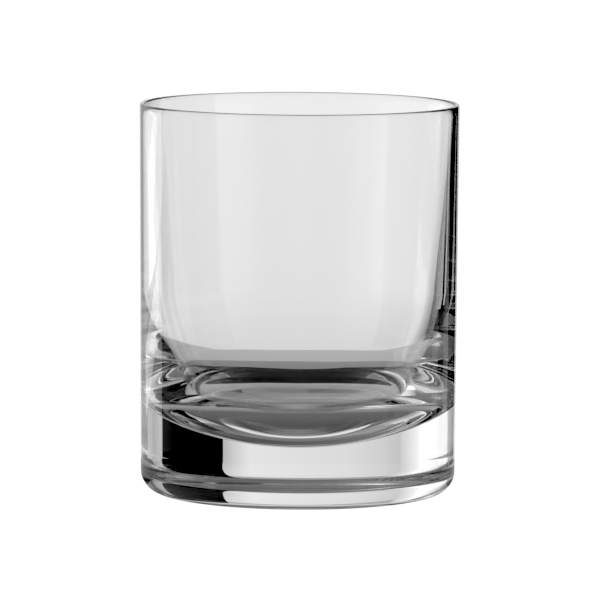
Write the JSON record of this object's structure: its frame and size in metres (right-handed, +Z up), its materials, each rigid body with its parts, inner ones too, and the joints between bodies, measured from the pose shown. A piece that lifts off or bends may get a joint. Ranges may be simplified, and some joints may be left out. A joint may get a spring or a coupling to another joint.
{
  "type": "whiskey tumbler",
  "caption": "Straight-sided round whiskey tumbler in clear glass, with a thin rounded rim and a thick solid base.",
  "frame": {"origin": "centre of the flat standing face", "axes": "+Z up along the axis that the glass is turned about, towards the open rim; +X and +Y are any two level directions"},
  "size_m": [0.085, 0.085, 0.104],
  "materials": {
    "glass": "clear colourless, fire-polished"
  },
  "bodies": {
    "root": {"tumbler": "glass"}
  },
  "joints": []
}
